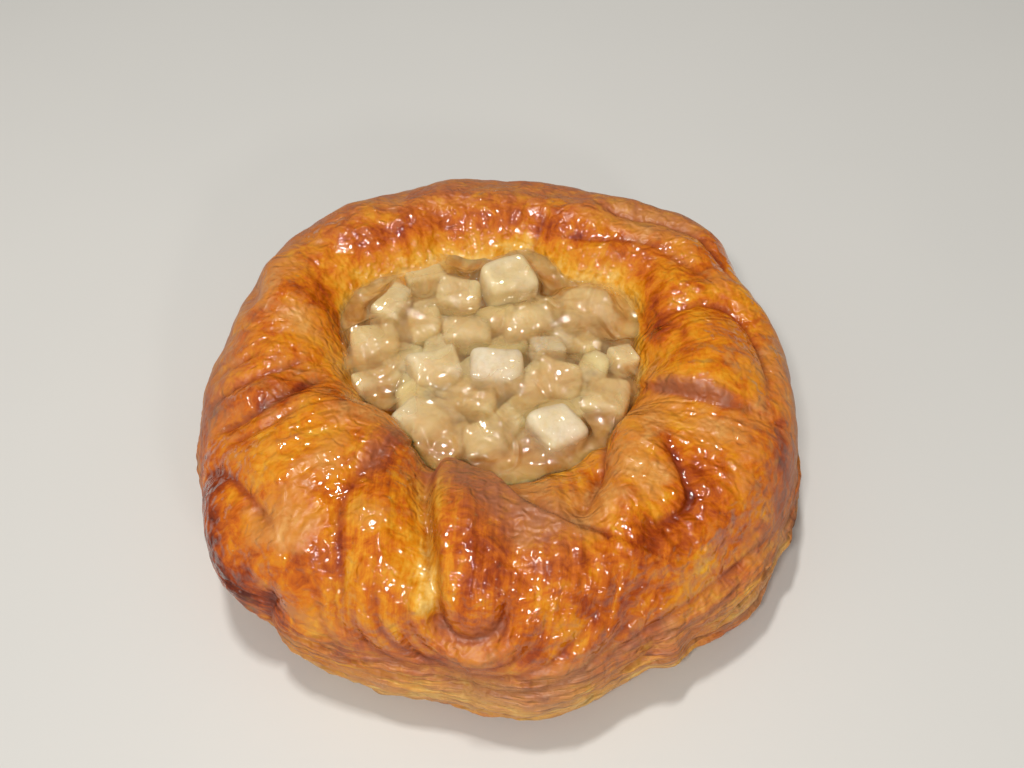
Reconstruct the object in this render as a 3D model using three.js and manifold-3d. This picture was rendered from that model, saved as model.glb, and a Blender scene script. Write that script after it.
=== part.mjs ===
// A round vatrushka: laminated dough folded up into a rim round a well of diced fruit set in jelly.
// Millimetres, +Z up. The pastry stands on z = 0 with the middle of its base at the origin, its front
// towards -Y. Angles round the pastry run from +X through the back (+Y); angles round the rim's section
// run from the outermost edge (0) over the crest (90) to the wall of the well (180).

import * as THREE from 'three';
import { ConvexGeometry } from 'three/addons/geometries/ConvexGeometry.js';
import { mergeVertices } from 'three/addons/utils/BufferGeometryUtils.js';
import Module from 'manifold-3d';

const wasm = await Module();
wasm.setup();

// ---- driving dimensions ----

const OUTLINE_RADIUS = 62; // the pastry is about 124 mm across
const CREST_HEIGHT = 33; // the rim without its folds
const WIDEST_HEIGHT = 12.5; // height at which the rim is widest
const BASE_DEPTH = 13.2; // the section reaches just below the board and is pressed flat there
const WELL_RADIUS = 27.5;
const WELL_SHIFT = 6; // the well lies this far behind the middle
const FLOOR_HEIGHT = 7; // dough under the filling
const UPPER_ROUNDNESS = 2.15; // exponent of the section above its widest height; 2 is an ellipse
const LOWER_ROUNDNESS = 2.5;

const GAP = 0.35; // clearance between neighbouring pieces
const OVERLAP = 1.2; // how far a block reaches into the dough before it is cut to fit
const DIE_SIZE = 9.5; // most of the fruit is cut to about this size
const DIE_ROUNDING = 0.22; // share of a die's side taken by its rounded edge
const JELLY_LEVEL = 25; // where it meets the wall of the well
const JELLY_HEAP = 1.2; // how much higher it is heaped in the middle

const COLUMNS = 124; // facets round the pastry
const FINEST_SPREAD = 3.2; // mm; a narrower side of a fold would fall between the facets
const UNDERSIDE = -65; // section angle of the flat base's edge
const WALL_FOOT = 192; // section angle at which the wall of the well meets its floor
const JELLY_EDGE = 146; // section angle that the jelly reaches
const ROWS = [UNDERSIDE, -48, -36, -24, -13, -3, 7, 16, 25, 34, 42, 50, 58, 66, 74, 82, 90, 98, 106,
  114, 122, 130, 138, 147, 157, 168, 180, WALL_FOOT];

// ---- uneven outline and well: [angle, half width in degrees, rise in mm] ----

const OUTLINE_BULGES = [[0, 14, -1.4], [20, 34, -1], [45, 8, 2.2], [56, 8, -1.4], [130, 18, 1.8],
  [158, 14, -0.7], [168, 10, -1.8], [206, 9, -1.2], [214, 9, 1.6], [231, 10, 2.4], [277, 11, 2.4],
  [298, 8, -1.2], [320, 12, 1.8]];
const WELL_BULGES = [[146, 16, 6.5], [205, 12, -4.5], [224, 9, -2], [322, 18, -3.6], [62, 10, -5],
  [90, 9, -1.2]];

// ---- the folds of the dough ----
// rise: mm at even steps from the start of the fold to its end, negative for a crease
// spread: mm to the left and to the right of its line; a narrow side is a steep one
// line: [angle round the pastry, angle round the section]

const roll = (x) => Math.exp(-x * x);
const lap = (x) => 0.55 * Math.exp(-(x ** 4)) + 0.45 * Math.exp(-x * x);
const crease = (x) => Math.exp(-x);

const FOLDS = [
  // the corner of the sheet that is folded in over the filling
  { name: 'tongue edge', shape: lap, spread: [16, 1.1],
    rise: [0.6, 1.4, 2.4, 3, 3.4, 3.6, 3.6, 3.6, 3.6, 3.6, 3.6, 3.4, 2.8, 2, 1],
    line: [[292, 79], [288, 87], [283, 97], [277, 108], [271, 120], [265, 132], [258, 140], [251, 142],
      [246, 134], [249, 114], [253, 98], [257, 84], [259, 70], [260, 58], [261, 49]] },
  { name: 'tongue body', shape: roll, rise: [0.4, 1.4, 2, 1], spread: [5, 6],
    line: [[259, 124], [262, 104], [264, 82], [265, 60]] },
  { name: 'tongue foot', shape: crease, rise: [-2, -4, -4, -2.4], spread: [1.4, 4],
    line: [[243, 138], [248, 112], [252, 92], [257, 58]] },
  { name: 'tongue end', shape: crease, rise: [-2.4, -2.6, -2.4], spread: [2, 2.6],
    line: [[258, 58], [260, 46], [264, 41], [269, 46], [272, 62]] },
  { name: 'tongue end lip', shape: roll, rise: [1.6, 1.6], spread: [2.4, 2.4],
    line: [[255, 56], [258, 38], [264, 32], [270, 38], [275, 56]] },
  // the pillow to its left
  { name: 'left pillow', shape: roll, rise: [3.4, 3.4], spread: [6, 9],
    line: [[231, 126], [239, 98], [245, 70], [250, 48]] },
  { name: 'left pillow edge', shape: crease, rise: [-1.2, -2.2], spread: [3, 3],
    line: [[222, 140], [228, 112], [231, 88], [238, 63], [244, 37]] },
  // the right front
  { name: 'facet edge', shape: crease, rise: [-1.4, -1.4], spread: [1.8, 3],
    line: [[287, 96], [299, 112], [308, 128]] },
  { name: 'pale lobe', shape: roll, rise: [3, 2.6], spread: [7, 5],
    line: [[326, 124], [313, 106], [303, 92]] },
  { name: 'pale lobe step', shape: crease, rise: [-2.6, -2], spread: [3.6, 1.8],
    line: [[326, 108], [319, 86], [314, 72], [307, 72], [299, 78]] },
  { name: 'pale lobe crease', shape: crease, rise: [-2.6, -1.6], spread: [1.8, 2.8],
    line: [[330, 150], [318, 136], [306, 120], [296, 104], [289, 94]] },
  { name: 'browned ridge', shape: roll, rise: [2.2, 2], spread: [6.5, 6.5],
    line: [[282, 74], [299, 64], [316, 62], [334, 62]] },
  { name: 'browned dent', shape: roll, rise: [-1.6, -1.4], spread: [4.5, 4.5],
    line: [[292, 50], [304, 42], [320, 38]] },
  // the right side
  { name: 'right lip', shape: lap, rise: [0.8, 2, 2, 0.6], spread: [10, 0.9],
    line: [[352, 128], [347, 112], [344, 94], [344, 76]] },
  { name: 'right lip crease', shape: crease, rise: [-1.4, -1.4], spread: [0.9, 1.8],
    line: [[351, 130], [346, 112], [343, 94], [343, 76]] },
  { name: 'upper right lobe', shape: roll, rise: [2.8, 2.6], spread: [10, 10],
    line: [[12, 112], [3, 100], [355, 90]] },
  { name: 'upper right arc', shape: crease, rise: [-2, -2], spread: [2.2, 2],
    line: [[18, 124], [18, 104], [17, 88], [13, 75], [5, 68], [356, 65], [344, 64]] },
  { name: 'outer right roll', shape: roll, rise: [1.4, 1.4], spread: [5, 5],
    line: [[36, 70], [16, 58], [356, 50], [338, 46]] },
  { name: 'inner right edge', shape: crease, rise: [-1.2, -1.2], spread: [3, 2],
    line: [[44, 132], [30, 130], [14, 130]] },
  // the back
  { name: 'back right lump', shape: roll, rise: [2.4, 2.4], spread: [6, 6],
    line: [[57, 58], [47, 56], [37, 50]] },
  { name: 'back right crease', shape: crease, rise: [-2.2, -2.2], spread: [2.6, 2.6],
    line: [[66, 76], [50, 74], [34, 66], [20, 60]] },
  { name: 'back right twist', shape: crease, rise: [-1.6, -1.2], spread: [2.6, 2.6],
    line: [[72, 112], [52, 100], [34, 90], [22, 80]] },
  { name: 'back nick', shape: crease, rise: [-1.4, -1.4], spread: [2.2, 2.2],
    line: [[78, 146], [77, 118], [75, 96]] },
  { name: 'back inner lip', shape: roll, rise: [1.6, 1.6], spread: [3, 3],
    line: [[124, 146], [108, 140], [92, 136]] },
  { name: 'back crown', shape: roll, rise: [-1, -1], spread: [4, 4],
    line: [[112, 74], [92, 78], [70, 74]] },
  // the left side
  { name: 'left back dimple', shape: roll, rise: [-1.6, -1.6], spread: [3, 3],
    line: [[160, 66], [156, 62]] },
  { name: 'left back lump', shape: roll, rise: [1.4, 1.4], spread: [5, 5],
    line: [[158, 84], [150, 74]] },
  { name: 'left pinch', shape: crease, rise: [-2.8, -2.8], spread: [2.4, 3.4],
    line: [[194, 44], [195, 72], [191, 98], [182, 126]] },
  { name: 'left second pinch', shape: crease, rise: [-1.8, -1.8], spread: [2, 2.4],
    line: [[186, 40], [186, 66], [183, 92], [176, 116]] },
  { name: 'left lobe', shape: roll, rise: [3, 2.6], spread: [13, 12],
    line: [[206, 104], [212, 86], [220, 64]] },
  { name: 'nodule', shape: roll, rise: [2.6, 2.6], spread: [6.5, 6.5],
    line: [[208, 32], [214, 28], [221, 20]] },
  { name: 'nodule crease', shape: crease, rise: [-2, -2], spread: [2.8, 2.8],
    line: [[199, 26], [205, 44], [214, 54], [226, 56]] },
  { name: 'nodule notch', shape: crease, rise: [-2.6, -2.6], spread: [4, 4],
    line: [[227, -30], [228, 8], [229, 36]] },
  // the layers that wrap round the front
  { name: 'front inner arc', shape: crease, rise: [-1, -1], spread: [2, 1.8],
    line: [[252, 80], [253, 52], [257, 34], [265, 26], [273, 34], [278, 52]] },
  { name: 'front middle arc', shape: crease, rise: [-1.6, -1.6], spread: [2.2, 1.8],
    line: [[247, 68], [248, 46], [253, 28], [263, 18], [274, 24], [282, 38], [289, 54]] },
  { name: 'front outer arc', shape: crease, rise: [-1.4, -1.4], spread: [2.4, 2],
    line: [[243, 54], [245, 34], [251, 18], [263, 9], [277, 14], [289, 30], [298, 46]] },
  { name: 'flaky edge', shape: crease, rise: [-1.4, -1.4], spread: [2.2, 3],
    line: [[284, 16], [296, 26], [312, 28], [332, 22]] },
  { name: 'drip', shape: roll, rise: [2, 2], spread: [3.5, 3.5],
    line: [[299, 4], [300, -14]] },
];

// ---- the diced fruit: [x, y, height of its top, turn, tilt to the front, width, depth, height] ----
// Sizes are shares of DIE_SIZE. The dice are listed from the back of the well to its front.

const FRUIT = [
  [-15.5, 29.0, 26.2, 15, 0, 0.90, 0.50, 0.80],
  [1.5, 25.8, 31.0, 20, 14, 1.15, 1.00, 1.00],
  [-8.6, 23.6, 28.2, -5, 6, 0.90, 0.80, 0.85],
  [-22.4, 21.0, 28.0, 56, 10, 0.95, 0.65, 0.85],
  [19.0, 19.0, 27.6, 4, 8, 1.10, 0.95, 0.90],
  [-15.2, 15.8, 27.4, 12, 8, 0.70, 0.75, 0.85],
  [5.6, 15.4, 28.0, 22, 10, 1.20, 0.60, 0.80],
  [-6.6, 12.6, 27.6, 4, 6, 0.95, 0.60, 0.80],
  [-25.6, 11.0, 27.2, 14, 8, 0.95, 0.85, 0.85],
  [17.8, 9.6, 26.8, 40, 4, 0.50, 0.50, 0.70],
  [10.0, 8.2, 27.4, 14, 8, 0.75, 0.48, 0.65],
  [25.2, 6.2, 27.0, 30, 8, 0.55, 0.60, 0.65],
  [-12.6, 4.0, 28.0, 20, 10, 1.10, 0.80, 0.85],
  [-0.4, 3.0, 28.8, -7, 12, 1.02, 0.88, 0.95],
  [11.6, 0.4, 27.2, -14, 6, 0.95, 0.75, 0.85],
  [-24.4, 1.6, 26.4, 24, 6, 0.95, 0.50, 0.75],
  [21.2, -4.0, 27.2, -12, 8, 0.95, 0.95, 0.85],
  [-4.6, -5.2, 26.4, -20, 4, 0.80, 0.55, 0.75],
  [-15.4, -9.4, 27.0, -34, 8, 0.95, 0.90, 0.85],
  [10.8, -12.8, 29.0, 32, 10, 0.95, 0.95, 0.95],
  [-3.8, -14.4, 27.0, 14, 8, 0.95, 0.85, 0.85],
];

// ---- surface of the dough ----

const rad = THREE.MathUtils.degToRad;
const turnBetween = (a, b) => ((((a - b + 180) % 360) + 360) % 360) - 180;

function bulges(angle, list) {
  return list.reduce((sum, [at, width, rise]) => sum + rise * roll(turnBetween(angle, at) / width), 0);
}

// Distance from the axis and height of the rim's section, before folding.
function section(angle, around) {
  const outer = OUTLINE_RADIUS + bulges(angle, OUTLINE_BULGES);
  const sideways = WELL_SHIFT * Math.cos(rad(angle));
  const well = WELL_SHIFT * Math.sin(rad(angle)) + Math.sqrt(WELL_RADIUS ** 2 - sideways ** 2)
    + bulges(angle, WELL_BULGES);
  const across = Math.cos(rad(around));
  const up = Math.sin(rad(around));
  const halfWidth = (outer - well) / 2;
  const halfHeight = up > 0 ? CREST_HEIGHT - WIDEST_HEIGHT : BASE_DEPTH;
  const power = up > 0 ? UPPER_ROUNDNESS : LOWER_ROUNDNESS;
  const reach = (Math.abs(across / halfWidth) ** power + Math.abs(up / halfHeight) ** power)
    ** (-1 / power);
  return [(outer + well) / 2 + reach * across, WIDEST_HEIGHT + reach * up];
}

function place(angle, radius, height) {
  return new THREE.Vector3(radius * Math.cos(rad(angle)), radius * Math.sin(rad(angle)), height);
}

const basePoint = (angle, around) => place(angle, ...section(angle, around));

// Direction in which the rim swells at an angle of its section.
function outward(angle, around) {
  return place(angle, Math.cos(rad(around)), Math.sin(rad(around)));
}

// A smooth line through a fold's few points, laid on the unfolded surface.
function foldLine({ line }) {
  const angles = line.reduce((list, [angle]) => {
    const last = list.length ? list[list.length - 1] : angle;
    return [...list, last + turnBetween(angle, last)];
  }, []);
  const controls = line.map(([, around], i) => new THREE.Vector3(angles[i], around, 0));
  const steps = 8 * (line.length - 1);
  const curve = new THREE.CatmullRomCurve3(controls, false, 'catmullrom', 0.5);
  return Array.from({ length: steps + 1 }, (_, i) => curve.getPoint(i / steps))
    .map((point) => basePoint(point.x, point.y));
}

const foldLines = FOLDS.map(foldLine);

// A value between evenly spaced ones.
function interpolate(values, share) {
  const step = Math.min(Math.floor(share * (values.length - 1)), values.length - 2);
  return THREE.MathUtils.lerp(values[step], values[step + 1], share * (values.length - 1) - step);
}

// How much one fold lifts (or sinks) the surface at a point.
function foldRise(fold, line, point, normal) {
  const { shape, rise, spread } = fold;
  const nearest = new THREE.Vector3();
  let distance = Infinity;
  let along = 0;
  let side = 0;
  for (let i = 0; i + 1 < line.length; i += 1) {
    const piece = new THREE.Line3(line[i], line[i + 1]);
    const t = piece.closestPointToPointParameter(point, true);
    piece.at(t, nearest);
    const away = nearest.distanceTo(point);
    if (away < distance) {
      distance = away;
      along = (i + t) / (line.length - 1);
      const offset = point.clone().sub(nearest);
      side = piece.delta(new THREE.Vector3()).cross(offset).dot(normal);
    }
  }
  const reach = Math.max(spread[side > 0 ? 0 : 1], FINEST_SPREAD);
  const height = interpolate(rise, along) * shape(distance / reach);
  if (shape !== crease) return height;
  const taper = [along, 1 - along].map((share) => THREE.MathUtils.smoothstep(share, -0.02, 0.2));
  return height * taper[0] * taper[1];
}

// Gentle unevenness that the whole rim has.
function unevenness(angle, around) {
  const a = rad(angle);
  const b = rad(around);
  return 0.4 * Math.sin(5 * a + 1.3) * Math.sin(3 * b + 0.4)
    + 0.3 * Math.sin(11 * a - 0.7 + 2 * b)
    + 0.2 * Math.sin(17 * a + 2.1 - 5 * b);
}

// A point of the finished dough, or of a skin that keeps a clearance to it.
function doughPoint(angle, around, clearance) {
  const point = basePoint(angle, around);
  const normal = outward(angle, around);
  const fade = THREE.MathUtils.smoothstep(around, UNDERSIDE, -20)
    * THREE.MathUtils.smoothstep(WALL_FOOT - around, 0, 35);
  const folded = FOLDS.reduce((sum, fold, i) => sum + foldRise(fold, foldLines[i], point, normal), 0);
  const lift = fade * (folded + unevenness(angle, around));
  const surface = point.addScaledVector(normal, lift + clearance);
  surface.z = Math.max(surface.z, clearance);
  if (around === WALL_FOOT) surface.z += clearance;
  return surface;
}

// ---- mesh helpers ----

// Closed skin from rings of equal length, with a point that closes each end.
function skin(rings, firstEnd, lastEnd) {
  const columns = rings[0].length;
  const points = [...rings.flat(), firstEnd, lastEnd];
  const first = points.length - 2;
  const last = points.length - 1;
  const faces = [];
  for (let column = 0; column < columns; column += 1) {
    const next = (column + 1) % columns;
    faces.push([first, next, column]);
    for (let row = 0; row + 1 < rings.length; row += 1) {
      const [a, b] = [row * columns + column, row * columns + next];
      const [c, d] = [a + columns, b + columns];
      const shorter = points[a].distanceTo(points[d]) < points[b].distanceTo(points[c]);
      faces.push(...(shorter ? [[a, b, d], [a, d, c]] : [[a, b, c], [b, d, c]]));
    }
    const top = (rings.length - 1) * columns;
    faces.push([last, top + column, top + next]);
  }
  const geometry = new THREE.BufferGeometry();
  const positions = points.flatMap((point) => point.toArray());
  geometry.setAttribute('position', new THREE.Float32BufferAttribute(positions, 3));
  geometry.setIndex(faces.flat());
  return geometry;
}

function toSolid(geometry) {
  const bare = geometry.clone();
  bare.deleteAttribute('normal');
  bare.deleteAttribute('uv');
  const merged = mergeVertices(bare, 1e-4);
  return new wasm.Manifold(new wasm.Mesh({
    numProp: 3,
    vertProperties: new Float32Array(merged.attributes.position.array),
    triVerts: new Uint32Array(merged.index.array),
  }));
}

// The largest body of a solid: slivers that a cut leaves loose are dropped.
function mainBody(solid) {
  return solid.decompose().reduce((best, body) => (body.volume() > best.volume() ? body : best));
}

function fromSolid(solid) {
  const { vertProperties, triVerts } = mainBody(solid).getMesh();
  const geometry = new THREE.BufferGeometry();
  geometry.setAttribute('position', new THREE.Float32BufferAttribute(vertProperties, 3));
  geometry.setIndex(Array.from(triVerts));
  return geometry;
}

function mesh(name, geometry, colour, roughness) {
  geometry.computeVertexNormals();
  const material = new THREE.MeshStandardMaterial({ color: colour, roughness, metalness: 0 });
  const piece = new THREE.Mesh(geometry, material);
  piece.name = name;
  return piece;
}

// ---- the dough ----

const columnAngles = Array.from({ length: COLUMNS }, (_, i) => ((i + 0.5) * 360) / COLUMNS);
const ringAt = (around, clearance) => columnAngles.map((angle) => doughPoint(angle, around, clearance));

function doughSkin(clearance) {
  const rings = ROWS.map((around) => ringAt(around, clearance));
  const underMiddle = new THREE.Vector3(0, WELL_SHIFT, clearance);
  const floorMiddle = new THREE.Vector3(0, WELL_SHIFT, FLOOR_HEIGHT + clearance);
  return skin(rings, underMiddle, floorMiddle);
}

// ---- the jelly and the fruit ----

// A block that fills the well up to the jelly's surface and reaches a little into its wall.
function jellyBlock() {
  const wall = [WALL_FOOT, 175, 160, JELLY_EDGE]
    .map((around) => ringAt(around, -OVERLAP).filter((_, column) => column % 2 === 0));
  const edge = wall[wall.length - 1];
  edge.forEach((point) => point.setZ(Math.min(point.z, JELLY_LEVEL)));
  const middle = new THREE.Vector3(0, WELL_SHIFT, JELLY_LEVEL + JELLY_HEAP);
  const surface = [0.8, 0.5].map((share) => edge.map((end) => {
    const point = middle.clone().lerp(end, share);
    return point.setZ(end.z + (middle.z - end.z) * (1 - share ** 3));
  }));
  return toSolid(skin([...wall, ...surface], middle.clone().setZ(FLOOR_HEIGHT - OVERLAP), middle));
}

// A block with rounded edges: the eight corners are each cut back along all three sides.
function dieGeometry([x, y, top, turn, tilt, ...shares], clearance) {
  const half = shares.map((share) => (share * DIE_SIZE) / 2 + clearance);
  const cut = DIE_ROUNDING * Math.min(...half) * 2;
  const signs = [-1, 1];
  const corners = signs.flatMap((i) => signs.flatMap((j) => signs.map((k) => [i, j, k])));
  const points = corners.flatMap((corner) => [0, 1, 2].map((full) => new THREE.Vector3(
    ...corner.map((sign, axis) => sign * (half[axis] - (axis === full ? 0 : cut))),
  )));
  const geometry = new ConvexGeometry(points);
  geometry.rotateX(rad(tilt));
  geometry.rotateZ(rad(turn));
  geometry.translate(x, y, top - half[2] + clearance);
  return geometry;
}

function filling() {
  const walls = toSolid(doughSkin(GAP));
  const dice = FRUIT.map((die) => toSolid(dieGeometry(die, 0)).subtract(walls));
  const pockets = FRUIT.map((die) => toSolid(dieGeometry(die, GAP)));
  const jelly = [walls, ...pockets].reduce((rest, cutter) => rest.subtract(cutter), jellyBlock());
  const pieces = dice.map((die, i) => {
    const name = `fruit_die_${String(i + 1).padStart(2, '0')}`;
    return mesh(name, fromSolid(die), '#dccf9c', 0.3);
  });
  return [mesh('jelly', fromSolid(jelly), '#c49a55', 0.15), ...pieces];
}

const vatrushka = new THREE.Group();
vatrushka.add(mesh('dough', doughSkin(0), '#c9792b', 0.45), ...filling());

export default vatrushka;
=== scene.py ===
"""The looks of a vatrushka: glazed laminated dough round a well of diced fruit in amber jelly.

Lengths are worked out in millimetres and turned into metres when a piece is made. The frame is that of
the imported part: the base on z = 0, the front towards -Y. Angles round the pastry run from +X through the
back; angles round the rim's section run from its outermost edge (0) over the crest (90) to the wall of
the well (180).
"""
import math
import random

import bmesh
import bpy
import numpy as np
from mathutils import Matrix, Vector, noise


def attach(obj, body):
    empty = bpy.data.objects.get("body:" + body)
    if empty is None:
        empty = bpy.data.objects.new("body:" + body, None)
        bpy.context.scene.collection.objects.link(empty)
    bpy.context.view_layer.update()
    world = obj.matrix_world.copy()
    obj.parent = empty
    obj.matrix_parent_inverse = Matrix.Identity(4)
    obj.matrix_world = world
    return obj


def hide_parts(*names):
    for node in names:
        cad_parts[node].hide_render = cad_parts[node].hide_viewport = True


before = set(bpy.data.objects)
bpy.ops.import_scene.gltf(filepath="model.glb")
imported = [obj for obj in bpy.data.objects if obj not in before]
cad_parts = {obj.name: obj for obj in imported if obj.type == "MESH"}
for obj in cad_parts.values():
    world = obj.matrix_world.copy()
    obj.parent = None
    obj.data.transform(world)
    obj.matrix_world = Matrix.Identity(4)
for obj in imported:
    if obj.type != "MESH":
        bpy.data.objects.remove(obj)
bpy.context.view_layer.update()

MM = 0.001

# ---- driving dimensions, mm ----

OUTLINE_RADIUS = 62.0
CREST_HEIGHT = 33.0
WIDEST_HEIGHT = 12.5
BASE_DEPTH = 13.2
WELL_RADIUS = 27.5
WELL_SHIFT = 6.0
FLOOR_HEIGHT = 7.0
UPPER_ROUNDNESS = 2.15
LOWER_ROUNDNESS = 2.5
UNDERSIDE = -65.0  # section angles: the flat base's edge, and the foot of the well's wall
WALL_FOOT = 192.0

DIE_SIZE = 9.5
DIE_ROUNDING = 0.22  # share of a die's smallest side
WOBBLE = 1.3  # how far the sides of the fruit are pushed off
WOBBLE_CELL = 7.5
JELLY_LEVEL = 25.0
JELLY_HEAP = 1.2  # how much higher it is heaped away from the wall
JELLY_CLIMB = 1.2  # how far the jelly creeps up the wall of the well
JELLY_INTO_DOUGH = 0.6  # so that no gap shows between them
FILM = 0.3  # jelly that clings to the whitest fruit
VEIL = 0.6  # and what the dullest has over that

COLUMNS = 560  # divisions of the mesh round the pastry
SECTION_ROWS = 150
DISC_ROWS = 8

# [angle round the pastry, half width in degrees, rise in mm]
OUTLINE_BULGES = [(0, 14, -1.4), (20, 34, -1), (45, 8, 2.2), (56, 8, -1.4), (130, 18, 1.8),
                  (158, 14, -0.7), (168, 10, -1.8), (206, 9, -1.2), (214, 9, 1.6), (231, 10, 2.4),
                  (277, 11, 2.4), (298, 8, -1.2), (320, 12, 1.8)]
WELL_BULGES = [(146, 16, 6.5), (205, 12, -4.5), (224, 9, -2), (322, 18, -3.6), (62, 10, -5),
               (90, 9, -1.2)]
# how much farther the jelly creeps up at the back and at the front left
CLIMB_BULGES = [(95, 50, 1.6), (222, 24, 3)]

ROLL, LAP, CREASE = "roll", "lap", "crease"

# name, shape, rise in mm along it, (spread to the left, to the right of its line),
# line of (angle round the pastry, angle round the section)
FOLDS = [
    # the corner of the sheet that is folded in over the filling
    ("tongue edge", LAP, (0.6, 1.4, 2.4, 3, 3.4, 3.6, 3.6, 3.6, 3.6, 3.6, 3.6, 3.4, 2.8, 2, 1), (16, 1.1),
     [(292, 79), (288, 87), (283, 97), (277, 108), (271, 120), (265, 132), (258, 140), (251, 142),
      (246, 134), (249, 114), (253, 98), (257, 84), (259, 70), (260, 58), (261, 49)]),
    ("tongue body", ROLL, (0.4, 1.4, 2, 1), (5, 6), [(259, 124), (262, 104), (264, 82), (265, 60)]),
    ("tongue foot", CREASE, (-2, -4, -4, -2.4), (1.4, 4), [(243, 138), (248, 112), (252, 92), (257, 58)]),
    ("tongue end", CREASE, (-2.4, -2.6, -2.4), (2, 2.6),
     [(258, 58), (260, 46), (264, 41), (269, 46), (272, 62)]),
    ("tongue end lip", ROLL, (1.6, 1.6), (2.4, 2.4), [(255, 56), (258, 38), (264, 32), (270, 38), (275, 56)]),
    # the pillow to its left
    ("left pillow", ROLL, (3.4, 3.4), (6, 9), [(231, 126), (239, 98), (245, 70), (250, 48)]),
    ("left pillow edge", CREASE, (-1.2, -2.2), (3, 3),
     [(222, 140), (228, 112), (231, 88), (238, 63), (244, 37)]),
    # the right front
    ("facet edge", CREASE, (-1.4, -1.4), (1.8, 3), [(287, 96), (299, 112), (308, 128)]),
    ("pale lobe", ROLL, (3, 2.6), (7, 5), [(326, 124), (313, 106), (303, 92)]),
    ("pale lobe step", CREASE, (-2.6, -2), (3.6, 1.8),
     [(326, 108), (319, 86), (314, 72), (307, 72), (299, 78)]),
    ("pale lobe crease", CREASE, (-2.6, -1.6), (1.8, 2.8),
     [(330, 150), (318, 136), (306, 120), (296, 104), (289, 94)]),
    ("browned ridge", ROLL, (2.2, 2), (6.5, 6.5), [(282, 74), (299, 64), (316, 62), (334, 62)]),
    ("browned dent", ROLL, (-1.6, -1.4), (4.5, 4.5), [(292, 50), (304, 42), (320, 38)]),
    # the right side
    ("right lip", LAP, (0.8, 2, 2, 0.6), (10, 0.9), [(352, 128), (347, 112), (344, 94), (344, 76)]),
    ("right lip crease", CREASE, (-1.4, -1.4), (0.9, 1.8), [(351, 130), (346, 112), (343, 94), (343, 76)]),
    ("upper right lobe", ROLL, (2.8, 2.6), (10, 10), [(12, 112), (3, 100), (355, 90)]),
    ("upper right arc", CREASE, (-2, -2), (2.2, 2),
     [(18, 124), (18, 104), (17, 88), (13, 75), (5, 68), (356, 65), (344, 64)]),
    ("outer right roll", ROLL, (1.4, 1.4), (5, 5), [(36, 70), (16, 58), (356, 50), (338, 46)]),
    ("inner right edge", CREASE, (-1.2, -1.2), (3, 2), [(44, 132), (30, 130), (14, 130)]),
    # the back
    ("back right lump", ROLL, (2.4, 2.4), (6, 6), [(57, 58), (47, 56), (37, 50)]),
    ("back right crease", CREASE, (-2.2, -2.2), (2.6, 2.6), [(66, 76), (50, 74), (34, 66), (20, 60)]),
    ("back right twist", CREASE, (-1.6, -1.2), (2.6, 2.6), [(72, 112), (52, 100), (34, 90), (22, 80)]),
    ("back nick", CREASE, (-1.4, -1.4), (2.2, 2.2), [(78, 146), (77, 118), (75, 96)]),
    ("back inner lip", ROLL, (1.6, 1.6), (3, 3), [(124, 146), (108, 140), (92, 136)]),
    ("back crown", ROLL, (-1, -1), (4, 4), [(112, 74), (92, 78), (70, 74)]),
    # the left side
    ("left back dimple", ROLL, (-1.6, -1.6), (3, 3), [(160, 66), (156, 62)]),
    ("left back lump", ROLL, (1.4, 1.4), (5, 5), [(158, 84), (150, 74)]),
    ("left pinch", CREASE, (-2.8, -2.8), (2.4, 3.4), [(194, 44), (195, 72), (191, 98), (182, 126)]),
    ("left second pinch", CREASE, (-1.8, -1.8), (2, 2.4), [(186, 40), (186, 66), (183, 92), (176, 116)]),
    ("left lobe", ROLL, (3, 2.6), (13, 12), [(206, 104), (212, 86), (220, 64)]),
    ("nodule", ROLL, (2.6, 2.6), (6.5, 6.5), [(208, 32), (214, 28), (221, 20)]),
    ("nodule crease", CREASE, (-2, -2), (2.8, 2.8), [(199, 26), (205, 44), (214, 54), (226, 56)]),
    ("nodule notch", CREASE, (-2.6, -2.6), (4, 4), [(227, -30), (228, 8), (229, 36)]),
    # the layers that wrap round the front
    ("front inner arc", CREASE, (-1, -1), (2, 1.8),
     [(252, 80), (253, 52), (257, 34), (265, 26), (273, 34), (278, 52)]),
    ("front middle arc", CREASE, (-1.6, -1.6), (2.2, 1.8),
     [(247, 68), (248, 46), (253, 28), (263, 18), (274, 24), (282, 38), (289, 54)]),
    ("front outer arc", CREASE, (-1.4, -1.4), (2.4, 2),
     [(243, 54), (245, 34), (251, 18), (263, 9), (277, 14), (289, 30), (298, 46)]),
    ("flaky edge", CREASE, (-1.4, -1.4), (2.2, 3), [(284, 16), (296, 26), (312, 28), (332, 22)]),
    ("drip", ROLL, (2, 2), (3.5, 3.5), [(299, 4), (300, -14)]),
    # too fine for the facets of the solid
    ("left third pinch", CREASE, (-1.2, -1.2), (1.4, 1.8), [(180, 44), (179, 64), (177, 84)]),
    ("left low pinch", CREASE, (-1.4, -1.4), (1, 1.4), [(199, 50), (200, 76), (198, 98)]),
    ("left high pinch", CREASE, (-1.2, -1.2), (1, 1.2), [(188, 92), (182, 108), (176, 122)]),
    ("front stripe", CREASE, (-1.1, -1.1), (1.3, 1.3), [(236, 50), (239, 31), (242, 12)]),
    ("front second stripe", CREASE, (-1, -1), (1.2, 1.2), [(236, 60), (240, 44), (244, 26)]),
    ("inner right arc", CREASE, (-1, -1), (1.4, 1.4), [(18, 122), (12, 112), (4, 106)]),
    ("right flake", LAP, (0.2, 0.9, 0.2), (2.4, 0.6), [(338, 12), (330, 6), (322, 4)]),
    ("lower right flake", LAP, (0.2, 1, 0.2), (2, 0.6), [(326, -6), (318, -8), (311, -6)]),
]

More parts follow.
